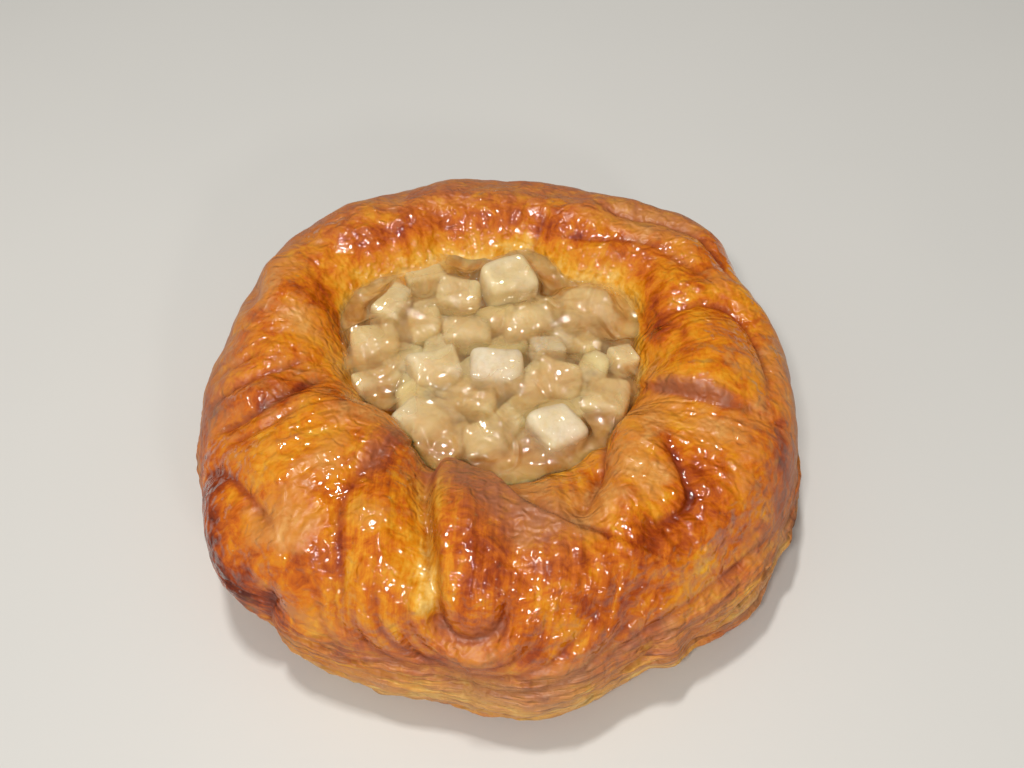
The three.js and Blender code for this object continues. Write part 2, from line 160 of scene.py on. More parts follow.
TONGUE_AXIS = [(262, 132), (265, 104), (266, 80), (265, 52)]
# width of the dark line along the creases and under the laps' edges, which is partly painted shade
SEAM_AND_SHADE_WIDTH = 0.9
FLOW_REACH = (22, 34)  # mm from the tongue within which the dough's layers run round it

# What the oven and the glaze did, with some painted light: kind, amount, width in mm, line as in FOLDS. The
# dry kind is also a painted reflection, and two pale lines at the foot of the front wall are also painted
# light.
BROWN, PALE, TAN, DRY_AND_SHEEN, WET = "brown", "pale", "tan", "dry", "wet"
TINTS = [
    (BROWN, 0.8, 6.0, [(260, 118), (263, 94), (265, 70), (265, 54)]),
    (BROWN, 0.9, 1.5, [(258, 48), (262, 41), (266, 43), (269, 50), (271, 62)]),
    (BROWN, 0.8, 3.0, [(222, 136), (228, 114), (230, 96)]),
    (BROWN, 0.8, 2.6, [(188, 50), (191, 70), (194, 86), (188, 110)]),
    (BROWN, 0.6, 3.0, [(184, 40), (190, 36), (198, 28)]),
    (BROWN, 0.7, 5.0, [(204, 22), (214, 10), (222, 8), (228, 18)]),
    (BROWN, 1.3, 5.0, [(205, 34), (213, 28), (222, 24)]),
    (BROWN, 0.3, 2.0, [(244, 25), (253, 20), (262, 22), (270, 29), (279, 38)]),
    (BROWN, 0.6, 2.6, [(273, 66), (274, 48), (276, 34)]),
    (BROWN, 0.7, 5.0, [(282, 72), (288, 58), (296, 58)]),
    (BROWN, 0.6, 4.0, [(300, 66), (308, 68), (316, 72), (322, 84)]),
    (BROWN, 0.8, 2.0, [(325, 102), (320, 86), (315, 72)]),
    (BROWN, 0.7, 1.0, [(349, 124), (345, 108), (343, 80)]),
    (BROWN, 1.0, 2.2, [(344, 54), (336, 48)]),
    (BROWN, 0.6, 5.0, [(336, 44), (328, 26)]),
    (BROWN, 0.8, 3.4, [(40, 112), (26, 120), (12, 122)]),
    (BROWN, 0.7, 3.4, [(128, 105), (108, 109), (88, 110), (64, 105)]),
    (BROWN, 0.7, 4.0, [(152, 112), (155, 122), (157, 132)]),
    (BROWN, 0.5, 3.0, [(48, 108), (40, 104)]),
    (PALE, 0.9, 3.2, [(246, 116), (251, 96), (254, 78), (257, 58)]),
    (PALE, 1.0, 6.0, [(142, 139), (124, 137), (100, 138), (75, 140), (52, 137), (38, 134)]),
    (PALE, 1.0, 3.0, [(34, 136), (16, 140), (2, 142)]),
    # these two pale the wall just above the jelly at the front: partly the soaked dough's own yellow, partly
    # painted light that lifts the shade the lip casts there
    (PALE, 1.0, 4.0, [(150, 142), (170, 147), (190, 148), (210, 150), (232, 150)]),
    (PALE, 0.6, 3.0, [(300, 142), (318, 147), (340, 147), (356, 144)]),
    (TAN, 1.0, 6.5, [(299, 96), (312, 104), (324, 112)]),
    (TAN, 1.0, 6.0, [(279, 122), (290, 112), (288, 92)]),
    (TAN, 0.8, 8.0, [(214, 90), (211, 112), (206, 134)]),
    (TAN, 0.8, 4.5, [(228, 62), (220, 52), (208, 46)]),
    (TAN, 0.7, 4.0, [(236, 96), (238, 84)]),
    (TAN, 0.7, 5.0, [(161, 78), (154, 90), (166, 104)]),
    (TAN, 0.6, 6.0, [(353, 84), (350, 64), (352, 50)]),
    (TAN, 0.6, 6.0, [(334, 84), (338, 104)]),
    (TAN, 0.5, 5.0, [(40, 84), (60, 90)]),
    (PALE, 0.9, 6.0, [(240, -24), (252, -12), (266, 0), (276, -4), (292, -12), (306, -26)]),
    (PALE, 0.8, 4.0, [(236, -50), (262, -44), (290, -46), (320, -40)]),
    (PALE, 0.8, 4.0, [(328, 8), (322, 0), (314, 2)]),
    (PALE, 0.7, 4.0, [(234, -5), (238, -12), (242, -13)]),
    # dull unglazed skin, painted mauve: partly its own colour, partly a painted reflection of the bright room
    # on it
    (DRY_AND_SHEEN, 0.9, 9.0,
     [(46, 60), (66, 62), (89, 76), (113, 68), (132, 62), (146, 58), (158, 46), (172, 42), (184, 42)]),
    (DRY_AND_SHEEN, 1.2, 6.5, [(250, 134), (256, 126), (264, 118), (272, 108), (280, 98)]),
    (DRY_AND_SHEEN, 0.8, 2.0, [(259, 46), (262, 40), (266, 42), (269, 48)]),
    (DRY_AND_SHEEN, 1.2, 1.3, [(349, 122), (345.5, 108), (343.5, 86)]),
    (DRY_AND_SHEEN, 0.7, 7.0, [(4, 40), (350, 34), (336, 30), (326, 24)]),
    (DRY_AND_SHEEN, 0.7, 5.0, [(262, 14), (280, 16), (290, 18), (302, 14), (312, 18)]),
    (DRY_AND_SHEEN, 0.6, 4.0, [(244, 18), (253, 16), (262, 12)]),
    (DRY_AND_SHEEN, 0.6, 3.0, [(222, 128), (228, 108)]),
    (WET, 1.0, 7.0, [(152, 112), (130, 114), (105, 118), (80, 118), (58, 112)]),
    (WET, 1.0, 7.0, [(140, 138), (100, 140), (75, 142), (52, 138), (20, 136)]),
    (WET, 0.8, 7.0, [(236, 96), (242, 76), (247, 56), (252, 36)]),
    (WET, 1.0, 5.0, [(262, 100), (264, 80), (265, 56)]),
    (WET, 0.8, 5.0, [(300, 66), (312, 70), (322, 84)]),
    (WET, 0.7, 5.0, [(276, 58), (277, 40)]),
    (WET, 1.0, 5.0, [(210, 42), (216, 24)]),
    (WET, 0.9, 8.0, [(286, 62), (298, 48), (308, 48)]),
    (WET, 0.6, 6.0, [(206, 96), (212, 76)]),
    (WET, 0.7, 5.0, [(352, 104), (350, 84)]),
    (WET, 0.7, 5.0, [(8, 112), (20, 104), (30, 98)]),
]

# [x, y, height of its top, turn, tilt to the front, then width, depth and height as shares of DIE_SIZE],
# and how white it is
FRUIT = [
    (-15.5, 29.0, 26.2, 15, 0, 0.90, 0.50, 0.80, 0.4),
    (1.5, 25.8, 31.0, 20, 14, 1.15, 1.00, 1.00, 0.7),
    (-8.6, 23.6, 28.2, -5, 6, 0.90, 0.80, 0.85, 0.5),
    (-22.4, 21.0, 28.0, 56, 10, 0.95, 0.65, 0.85, 0.6),
    (19.0, 19.0, 27.6, 4, 8, 1.10, 0.95, 0.90, 0.2),
    (-15.2, 15.8, 27.4, 12, 8, 0.70, 0.75, 0.85, 0.4),
    (5.6, 15.4, 28.0, 22, 10, 1.20, 0.60, 0.80, 0.5),
    (-6.6, 12.6, 27.6, 4, 6, 0.95, 0.60, 0.80, 0.5),
    # painted light: this die and the one at (-24.4, 1.6) are whiter than their own colour, to lift the shade
    # of the left rim; it also thins the jelly over them
    (-25.6, 11.0, 27.2, 14, 8, 0.95, 0.85, 0.85, 0.4),
    (17.8, 9.6, 26.8, 40, 4, 0.50, 0.50, 0.70, 0.3),
    (10.0, 8.2, 27.4, 14, 8, 0.75, 0.48, 0.65, 0.9),
    (25.2, 6.2, 27.0, 30, 8, 0.55, 0.60, 0.65, 0.6),
    (-12.6, 4.0, 28.0, 20, 10, 1.10, 0.80, 0.85, 0.7),
    (-0.4, 3.0, 28.8, -7, 12, 1.02, 0.88, 0.95, 1.0),
    (11.6, 0.4, 27.2, -14, 6, 0.95, 0.75, 0.85, 0.3),
    # painted light: whiter than its own colour, to lift the shade of the left rim
    (-24.4, 1.6, 26.4, 24, 6, 0.95, 0.50, 0.75, 0.5),
    (21.2, -4.0, 27.2, -12, 8, 0.95, 0.95, 0.85, 0.5),
    (-4.6, -5.2, 26.4, -20, 4, 0.80, 0.55, 0.75, 0.4),
    (-15.4, -9.4, 27.0, -34, 8, 0.95, 0.90, 0.85, 0.6),
    (10.8, -12.8, 29.0, 32, 10, 0.95, 0.95, 0.95, 0.9),
    (-3.8, -14.4, 27.0, 14, 8, 0.95, 0.85, 0.85, 0.4),
]


# ---- the form of the dough, as arrays of points ----

def smoothstep(low, high, value):
    share = np.clip((value - low) / (high - low), 0, 1)
    return share * share * (3 - 2 * share)


def bulges(angle, rows):
    total = np.zeros_like(angle)
    for at, width, rise in rows:
        turn = (angle - at + 180) % 360 - 180
        total += rise * np.exp(-(turn / width) ** 2)
    return total


def section(angle, around):
    """Distance from the axis and height of the rim's section before folding; angles in degrees."""
    outer = OUTLINE_RADIUS + bulges(angle, OUTLINE_BULGES)
    turn = np.radians(angle)
    well = WELL_SHIFT * np.sin(turn) + np.sqrt(WELL_RADIUS ** 2 - (WELL_SHIFT * np.cos(turn)) ** 2)
    well = well + bulges(angle, WELL_BULGES)
    across, up = np.cos(np.radians(around)), np.sin(np.radians(around))
    half_width = (outer - well) / 2
    half_height = np.where(up > 0, CREST_HEIGHT - WIDEST_HEIGHT, BASE_DEPTH)
    power = np.where(up > 0, UPPER_ROUNDNESS, LOWER_ROUNDNESS)
    reach = ((np.abs(across) / half_width) ** power + (np.abs(up) / half_height) ** power) ** (-1 / power)
    return (outer + well) / 2 + reach * across, WIDEST_HEIGHT + reach * up


def place(angle, radius, height):
    turn = np.radians(angle)
    return np.stack([radius * np.cos(turn), radius * np.sin(turn), height], -1)


def outward(angle, around):
    return place(angle, np.cos(np.radians(around)), np.sin(np.radians(around)))


def smooth_line(points, steps=8):
    """A Catmull-Rom line through (angle, around) points, laid on the unfolded dough."""
    points = np.array(points, float)
    points[:, 0] = np.degrees(np.unwrap(np.radians(points[:, 0])))
    ends = np.vstack([2 * points[0] - points[1], points, 2 * points[-1] - points[-2]])
    line = []
    for i in range(1, len(ends) - 2):
        share = np.linspace(0, 1, steps, endpoint=False)[:, None]
        a, b, c, d = ends[i - 1:i + 3]
        line.append(0.5 * (2 * b + (c - a) * share + (2 * a - 5 * b + 4 * c - d) * share ** 2
                           + (3 * b - a - 3 * c + d) * share ** 3))
    line = np.vstack([*line, points[-1:]])
    return place(line[:, 0], *section(line[:, 0], line[:, 1]))


def nearest(points, line, normals):
    """Distance to a line, share along it, and whether the points lie to its left."""
    distance = np.full(len(points), np.inf)
    along, left = np.zeros(len(points)), np.zeros(len(points), bool)
    for i, (start, end) in enumerate(zip(line[:-1], line[1:])):
        piece = end - start
        share = np.clip((points - start) @ piece / (piece @ piece), 0, 1)
        offset = points - start - share[:, None] * piece
        away = np.linalg.norm(offset, axis=1)
        closer = away < distance
        distance[closer] = away[closer]
        along[closer] = (i + share[closer]) / (len(line) - 1)
        left[closer] = (np.cross(piece, offset[closer]) * normals[closer]).sum(1) > 0
    return distance, along, left


def near(points, line, reach):
    low, high = line.min(0) - reach, line.max(0) + reach
    return np.flatnonzero(((points > low) & (points < high)).all(1))


def fold_lift(points, normals):
    """How far the folds lift each point, and how dark a line they leave along each crease and just under each
    lap's edge: partly glaze pooled in the joint, partly painted shade.
    """
    taper = 0.2  # share of a crease's length over which it runs out at either end
    lift, seam = np.zeros(len(points)), np.zeros(len(points))
    for _, shape, rise, spread, controls in FOLDS:
        line = smooth_line(controls)
        chosen = near(points, line, 4 * max(spread))
        distance, along, left = nearest(points[chosen], line, normals[chosen])
        x = distance / np.where(left, spread[0], spread[1])
        if shape == ROLL:
            form = np.exp(-x ** 2)
        elif shape == LAP:
            form = 0.55 * np.exp(-x ** 4) + 0.45 * np.exp(-x ** 2)
        else:
            form = np.exp(-x) * smoothstep(-0.02, taper, along) * smoothstep(-0.02, taper, 1 - along)
        here = np.interp(along, np.linspace(0, 1, len(rise)), rise) * form
        lift[chosen] += here
        # painted shade with pooled glaze: a dark line that deepens with the crease, and one just under each
        # lap's edge
        if shape == CREASE:
            seam[chosen] = np.maximum(seam[chosen], -here / 2 * np.exp(-(distance / SEAM_AND_SHADE_WIDTH) ** 2))
        elif shape == LAP:
            seam[chosen] = np.maximum(seam[chosen], np.exp(-((distance - 1) / SEAM_AND_SHADE_WIDTH) ** 2) * ~left)
    return lift, np.minimum(seam, 1)


def unevenness(angle, around):
    a, b = np.radians(angle), np.radians(around)
    return (0.4 * np.sin(5 * a + 1.3) * np.sin(3 * b + 0.4) + 0.3 * np.sin(11 * a - 0.7 + 2 * b)
            + 0.2 * np.sin(17 * a + 2.1 - 5 * b))


def tint(kind, points, normals):
    amount = np.zeros(len(points))
    for is_kind, strength, width, controls in TINTS:
        if is_kind != kind:
            continue
        line = smooth_line(controls)
        chosen = near(points, line, 3 * width)
        distance, *_ = nearest(points[chosen], line, normals[chosen])
        amount[chosen] = np.maximum(amount[chosen], strength * np.exp(-(distance / width) ** 2))
    return amount


def grain(points, scale, seed):
    """Smooth noise from -1 to 1; scale is a size in mm, or one for each axis."""
    cells = points / np.array(scale) + seed
    return np.array([noise.noise(Vector(cell)) for cell in cells])


class Layers:
    """Which way the dough's layers run at each point, as places for streaky patterns to read.

    wrapped runs round the tongue, spokes over the rim from outside to inside, and strata level round
    the wall. Each changes slowly along the layers and fast across them; front and low, from 0 to 1,
    say where the first and the last of them hold."""

    def __init__(self, angle, around, base, normal):
        turn = np.radians(angle)
        from_tongue, *_ = nearest(base, smooth_line(TONGUE_AXIS), normal)
        self.wrapped = np.stack([from_tongue, 0.1 * base[:, 0], 0.1 * (base[:, 1] + base[:, 2])], -1)
        self.spokes = np.stack([45 * np.cos(turn), 45 * np.sin(turn), 3 * np.radians(around)], -1)
        self.strata = np.stack([5 * np.cos(turn), 5 * np.sin(turn), 17 * np.radians(around)], -1)
        self.low = smoothstep(34, 10, around)
        self.front = smoothstep(FLOW_REACH[1], FLOW_REACH[0], from_tongue) * (1 - self.low)


def skin_relief(layers, around, base):
    """Wrinkles of the crust, and the edges and slits of the dough's layers low on its wall, in mm."""
    outside = smoothstep(-60, -30, around)
    wrinkle = 0.32 * grain(base, 6.0, 3.1) + 0.17 * grain(base, 2.6, 8.7)
    stripes = 0.26 * grain(layers.wrapped, (2.6, 1, 1), 5.3)
    spokes = 0.12 * grain(layers.spokes, (2.6, 2.6, 1), 2.7)
    edges = 0.7 * grain(layers.strata, (1, 1, 1.3), 1.9) + 0.3 * grain(base, 1.6, 4.4)
    slits = smoothstep(0.3, 0.55, grain(layers.strata, (0.7, 0.7, 0.9), 6.4))
    rest = 1 - layers.front - layers.low
    return (wrinkle + layers.front * stripes + rest * spokes
            + layers.low * outside * (edges - 1.1 * slits))


def dough_points(angle, around):
    """The folded dough's surface, the unfolded surface, the way up from it and the run of its layers."""
    base = place(angle, *section(angle, around))
    normal = outward(angle, around)
    layers = Layers(angle, around, base, normal)
    fade = smoothstep(UNDERSIDE, -20, around) * smoothstep(0, 35, WALL_FOOT - around)
    lift, layers.seam = fold_lift(base, normal)
    lift += unevenness(angle, around) + skin_relief(layers, around, base)
    points = base + normal * (fade * lift)[:, None]
    points[:, 2] = np.maximum(points[:, 2], 0)
    return points, base, normal, layers


# ---- mesh helpers ----

def new_piece(name, bm, finish):
    mesh = bpy.data.meshes.new(name)
    bm.to_mesh(mesh)
    bm.free()
    mesh.shade_smooth()
    mesh.materials.append(finish)
    piece = bpy.data.objects.new(name, mesh)
    bpy.context.scene.collection.objects.link(piece)
    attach(piece, "root")
    return piece


def coordinates(bm):
    return np.array([vert.co[:] for vert in bm.verts])


def move_to(bm, points):
    for vert, point in zip(bm.verts, points):
        vert.co = point


def closed_tube(rows):
    """A tube whose two ends are drawn together on the axis.

    Returns it with each point's angle in degrees and its place along the tube, counted in rows."""
    bm = bmesh.new()
    bmesh.ops.create_grid(bm, x_segments=COLUMNS, y_segments=rows, size=1)
    flat = coordinates(bm)
    turn, row = math.pi * (flat[:, 0] + 1), np.rint(rows * (flat[:, 1] + 1) / 2)
    radius = np.where((row == 0) | (row == rows), 0, 1)
    move_to(bm, np.stack([radius * np.cos(turn), radius * np.sin(turn), row], -1))
    bmesh.ops.remove_doubles(bm, verts=bm.verts, dist=1e-4)
    tube = coordinates(bm)
    return bm, np.degrees(np.arctan2(tube[:, 1], tube[:, 0])) % 360, np.rint(tube[:, 2])


def set_attribute(piece, name, values):
    kind = "FLOAT_VECTOR" if values.ndim == 2 else "FLOAT"
    attribute = piece.data.attributes.new(name, kind, "POINT")
    attribute.data.foreach_set("vector" if values.ndim == 2 else "value", values.astype(np.float32).ravel())


# ---- shader helpers ----

class Value:
    """A socket that takes part in arithmetic."""

    def __init__(self, finish, socket):
        self.finish, self.socket = finish, socket

    def _math(self, operation, *terms, clamp=False):
        node = self.finish.add("ShaderNodeMath", {"operation": operation, "use_clamp": clamp},
                               dict(enumerate(terms)))
        return Value(self.finish, node.outputs[0])

    def __add__(self, other):
        return self._math("ADD", self, other)

    def __sub__(self, other):
        return self._math("SUBTRACT", self, other)

    def __rsub__(self, other):
        return self._math("SUBTRACT", other, self)

    def __mul__(self, other):
        return self._math("MULTIPLY", self, other)

    __radd__, __rmul__ = __add__, __mul__

    def clamped(self):
        return self._math("ADD", self, 0.0, clamp=True)

    def between(self, low, high):
        """0 below low and 1 above high, smooth in between."""
        node = self.finish.add("ShaderNodeMapRange", {"interpolation_type": "SMOOTHSTEP"},
                               {"Value": self, "From Min": low, "From Max": high})
        return Value(self.finish, node.outputs[0])


class Finish:
    """A node material with one Principled surface, to which others can be mixed."""

    def __init__(self, name, **constants):
        self.material = bpy.data.materials.new(name)
        self.material.use_nodes = True
        self.tree = self.material.node_tree
        self.surface = self.tree.nodes["Principled BSDF"]
        self.set_constants(self.surface, constants)

    @staticmethod
    def set_constants(surface, constants):
        for socket, value in constants.items():
            surface.inputs[socket.replace("_", " ")].default_value = value

    def add(self, kind, settings=None, sockets=None):
        node = self.tree.nodes.new(kind)
        for key, value in (settings or {}).items():
            if key == "stops":
                self.set_stops(node.color_ramp, value)
            else:
                setattr(node, key, value)
        for key, value in (sockets or {}).items():
            if isinstance(value, Value):
                self.tree.links.new(value.socket, node.inputs[key])
            else:
                node.inputs[key].default_value = value
        return node

    @staticmethod
    def set_stops(ramp, stops):
        while len(ramp.elements) < len(stops):
            ramp.elements.new(1.0)
        for element, (position, code) in zip(ramp.elements, stops):
            element.position = position
            element.color = shade(code)

    def value(self, kind, settings=None, sockets=None, output=0):
        return Value(self, self.add(kind, settings, sockets).outputs[output])

    def attribute(self, name, output="Fac"):
        return self.value("ShaderNodeAttribute", {"attribute_name": name}, output=output)

    def place(self):
        return self.value("ShaderNodeTexCoord", output="Object")

    def noise(self, vector, scale, detail=3.0, roughness=0.55, distortion=0.0):
        return self.value("ShaderNodeTexNoise", None, {"Vector": vector, "Scale": scale, "Detail": detail,
                                                      "Roughness": roughness, "Distortion": distortion})

    def ramp(self, factor, stops):
        return self.value("ShaderNodeValToRGB", {"stops": stops}, {"Fac": factor})

    def mix(self, factor, first, second):
        node = self.add("ShaderNodeMix", {"data_type": "RGBA"}, {"Factor": factor})
        for socket, tone in ((node.inputs[6], first), (node.inputs[7], second)):
            if isinstance(tone, Value):
                self.tree.links.new(tone.socket, socket)
            else:
                socket.default_value = tone
        return Value(self, node.outputs[2])

    def bump(self, height, distance, strength):
        return self.value("ShaderNodeBump", None,
                          {"Height": height, "Distance": distance, "Strength": strength})

    def set(self, socket, value, surface=None):
        self.tree.links.new(value.socket, (surface or self.surface).inputs[socket])

    def cover_with(self, factor, **constants):
        """Mixes a second Principled surface over the first and returns it."""
        second = self.tree.nodes.new("ShaderNodeBsdfPrincipled")
        self.set_constants(second, constants)
        mixed = self.add("ShaderNodeMixShader", None, {0: factor})
        self.tree.links.new(self.surface.outputs[0], mixed.inputs[1])
        self.tree.links.new(second.outputs[0], mixed.inputs[2])
        self.tree.links.new(mixed.outputs[0], self.tree.nodes["Material Output"].inputs["Surface"])
        return second


def shade(code):
    """A colour from its sRGB hex code."""
    parts = [int(code[i:i + 2], 16) / 255 for i in (1, 3, 5)]
    linear = [part / 12.92 if part <= 0.04045 else ((part + 0.055) / 1.055) ** 2.4 for part in parts]
    return (*linear, 1.0)


# ---- the dough ----

def crust_finish():
    crust = Finish("crust", Specular_IOR_Level=0.6)
    here = crust.place()
    brown, pale, tan, dry, wet = (crust.attribute(kind) for kind in (BROWN, PALE, TAN, DRY_AND_SHEEN, WET))
    low, front, seam = (crust.attribute(name) for name in ("low", "front", "seam"))

    def layered(detail, fineness=1.0):
        """A streaky pattern that follows the run of the layers."""
        wrapped = crust.noise(crust.attribute("wrapped", "Vector"), 0.5 * fineness, detail, 0.6, 0.5)
        spokes = crust.noise(crust.attribute("spokes", "Vector"), 0.4 * fineness, detail, 0.6, 0.7)
        strata = crust.noise(crust.attribute("strata", "Vector"), 0.6 * fineness, detail, 0.6, 0.3)
        return wrapped * front + strata * low + spokes * (1 - front - low)

    patches = crust.noise(here, 75.0, 4.0, 0.6, 0.6)
    blotches = crust.noise(here, 260.0, 4.0, 0.7, 0.6)
    mottle = crust.noise(here, 120.0, 5.0, 0.68, 0.4)
    streaks, fibres = layered(4.0) - 0.5, (layered(3.0, 2.4) - 0.5) * (front + low)
    leaves = (crust.noise(crust.attribute("strata", "Vector"), 1.5, 2.0, 0.5, 0.2) - 0.5) * low
    # the crease line also bakes browner here, which is painted shade as well as pooled glaze
    bake = (0.47 + 0.3 * brown - 0.36 * pale + 0.8 * (patches - 0.5)
            + (0.35 + 0.2 * front + 0.5 * low) * streaks + 0.35 * fibres + 1.0 * (blotches - 0.5)
            + 0.9 * leaves + 0.15 * seam + 0.1 * low).clamped()
    colour = crust.ramp(bake, [
        (0.0, "#f0c468"), (0.2, "#e6a42c"), (0.4, "#dc860c"), (0.58, "#c96402"), (0.78, "#9e3e00"),
        (1.0, "#601c00"),
    ])
    rubbed = (0.12 + 0.7 * tan + 0.2 * low - 0.3 * brown - 0.4 * pale - 0.7 * wet + 3.6 * (mottle - 0.5)
              + 0.7 * streaks + 0.5 * fibres).clamped()
    colour = crust.mix(rubbed * 0.8, colour, crust.mix(blotches.between(0.35, 0.7), shade("#c87a32"),
                                                        shade("#e6ae5e")))
    # painted shade along the creases and under the laps' edges, darkened to reddish-brown together with the
    # glaze pooled there
    colour = crust.mix(seam * 0.5, colour, shade("#843414"))
    raw = (pale * low * (0.8 + 2 * streaks + 1.6 * leaves)).clamped()
    colour = crust.mix(raw * 0.7, colour, shade("#d2a068"))
    colour = crust.mix(leaves.between(0.1, 0.26) * 0.6, colour, shade("#6e3a16"))
    # painted reflection: the dull unglazed skin turns mauve, partly its own colour, partly the bright room's
    # sheen painted on; it is also made less glossy
    skin_and_sheen = (dry * (0.45 + 1.5 * (blotches - 0.25))).clamped()
    colour = crust.mix(skin_and_sheen * 0.8, colour, shade("#a46848"))
    crust.set("Base Color", colour)
    glaze = (0.54 + 0.5 * wet + 2.2 * (crust.noise(here, 90.0, 3.0, 0.5, 0.5) - 0.5) - 0.8 * skin_and_sheen
             - 0.3 * rubbed - 0.4 * low).between(0.3, 0.6)
    crust.set("Roughness", 0.46 - 0.4 * glaze)
    ripples = crust.noise(here, 480.0, 0.0, 0.5, 0.8)
    swells = crust.noise(here, 230.0, 0.0, 0.5, 0.5)
    pores = crust.noise(here, 1100.0, 0.0)
    relief = layered(0.0) * 0.45 + ripples * 0.5 + swells * 0.6 + pores * 0.1 + 0.7 * leaves
    crust.set("Normal", crust.bump(relief, 0.0016, 0.8))
    return crust.material


def dough():
    rows = SECTION_ROWS + 2 * DISC_ROWS
    bm, angle, row = closed_tube(rows)
    share = np.clip(np.minimum(row, rows - row) / DISC_ROWS, 0, 1)
    # most rows go to the part of the section that shows
    around = np.interp((row - DISC_ROWS) / SECTION_ROWS, (0, 0.09, 0.9, 1), (UNDERSIDE, -24, 152, WALL_FOOT))
    rim, base, normal, layers = dough_points(angle, around)
    middle = np.stack([0 * share, 0 * share + WELL_SHIFT, np.where(around > 0, FLOOR_HEIGHT, 0)], -1)
    move_to(bm, (middle + (rim - middle) * share[:, None]) * MM)
    bmesh.ops.recalc_face_normals(bm, faces=bm.faces)
    piece = new_piece("crust_dough", bm, crust_finish())
    for kind in (BROWN, PALE, TAN, DRY_AND_SHEEN, WET):
        set_attribute(piece, kind, tint(kind, base, normal))
    for name in ("low", "front", "seam", "wrapped", "spokes", "strata"):
        set_attribute(piece, name, getattr(layers, name))
    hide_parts("dough")


# ---- the fruit ----

def fruit_finish():
    fruit = Finish("fruit", Subsurface_Weight=0.7, Subsurface_Scale=0.004, Specular_IOR_Level=0.4,
                   Subsurface_Radius=(1.0, 0.8, 0.55), Roughness=0.35)
    here = fruit.place()
    white = fruit.attribute("white")
    clouds = fruit.noise(here, 160.0, 3.0)
    flesh = fruit.noise(here, 900.0, 3.0)
    colour = fruit.ramp((white + 0.8 * (clouds - 0.5)).clamped(), [
        (0.0, "#e6c88c"), (0.35, "#ecd89c"), (0.7, "#ecdeb2"), (1.0, "#ebe2cc"),
    ])
    fruit.set("Base Color", fruit.mix(flesh.between(0.4, 0.75) * 0.3, colour, shade("#d8c08a")))
    fruit.set("Normal", fruit.bump(clouds + 0.3 * flesh, 0.0006, 0.5))
    return fruit.material


def die_matrix(x, y, top, turn, tilt, height):
    return (Matrix.Translation((x, y, top - height / 2)) @ Matrix.Rotation(math.radians(turn), 4, "Z")
            @ Matrix.Rotation(math.radians(tilt), 4, "X"))


def wobble(points):
    """How far each upright line through the filling is pushed off, so that no die is quite square."""
    plan = np.column_stack([points[:, :2], np.zeros(len(points))])
    return WOBBLE * np.stack([grain(plan, WOBBLE_CELL, seed) for seed in (4.7, 11.3, 17.9)], -1)


def die(row):
    x, y, top, turn, tilt, *shares, _ = row
    size = [share * DIE_SIZE for share in shares]
    bm = bmesh.new()
    bmesh.ops.create_cube(bm, size=1.0)
    bmesh.ops.scale(bm, vec=size, verts=bm.verts)
    bmesh.ops.bevel(bm, geom=bm.edges, offset=DIE_ROUNDING * min(size), offset_type="OFFSET", segments=3,
                    profile=0.5, affect="EDGES", material=-1)
    bmesh.ops.subdivide_edges(bm, edges=bm.edges, cuts=4, use_grid_fill=True)
    for _ in range(8):
        bmesh.ops.smooth_vert(bm, verts=bm.verts, factor=0.5,
                              use_axis_x=True, use_axis_y=True, use_axis_z=True)
    bmesh.ops.transform(bm, matrix=die_matrix(x, y, top, turn, tilt, size[2]), verts=bm.verts)
    points = coordinates(bm)
    move_to(bm, (points - wobble(points)) * MM)
    bmesh.ops.triangulate(bm, faces=bm.faces)
    bmesh.ops.recalc_face_normals(bm, faces=bm.faces)
    return bm


def sunken_rows():
    """Dice that lie wholly in the jelly, wherever the ones that stand out leave room."""
    tries, reach, spacing = 900, 21, 0.56 * DIE_SIZE
    placed = [row[:2] for row in FRUIT]
    rows = []
    for _ in range(tries):
        distance, turn = reach * math.sqrt(random.random()), random.uniform(0, math.tau)
        x, y = distance * math.cos(turn), WELL_SHIFT + distance * math.sin(turn)
        if min(math.dist((x, y), spot) for spot in placed) < spacing:
            continue
        placed.append((x, y))
        rows.append((x, y, random.uniform(22.4, 25.2), random.uniform(0, 90), random.uniform(-12, 12),
                     random.uniform(0.7, 1.0), random.uniform(0.6, 0.9), 0.8, random.uniform(0.1, 0.7)))
    return rows


def dice(rows, sunken):
    finish = fruit_finish()
    for number, row in enumerate(rows, 1):
        piece = new_piece(f"fruit_piece_{number:02d}", die(row), finish)
        set_attribute(piece, "white", np.full(len(piece.data.vertices), row[-1]))
        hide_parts(f"fruit_die_{number:02d}")
    heap = bmesh.new()
    white = []
    for row in sunken:
        one, mesh = die(row), bpy.data.meshes.new("one")
        one.to_mesh(mesh)
        one.free()
        heap.from_mesh(mesh)
        white += [row[-1]] * len(mesh.vertices)
        bpy.data.meshes.remove(mesh)
    set_attribute(new_piece("sunken_fruit", heap, finish), "white", np.array(white))


# ---- the jelly ----

def die_distance(points, row):
    """Signed distance in mm from points to one rounded die."""
    x, y, top, turn, tilt, *shares, _ = row
    half = np.array(shares) * DIE_SIZE / 2
    rounding = DIE_ROUNDING * 2 * half.min()
    inverse = np.array(die_matrix(x, y, top, turn, tilt, 2 * half[2]).inverted())
    away = np.abs(points @ inverse[:3, :3].T + inverse[:3, 3]) - (half - rounding)
    outside = np.linalg.norm(np.maximum(away, 0), axis=1)
    return outside + np.minimum(away.max(1), 0) - rounding


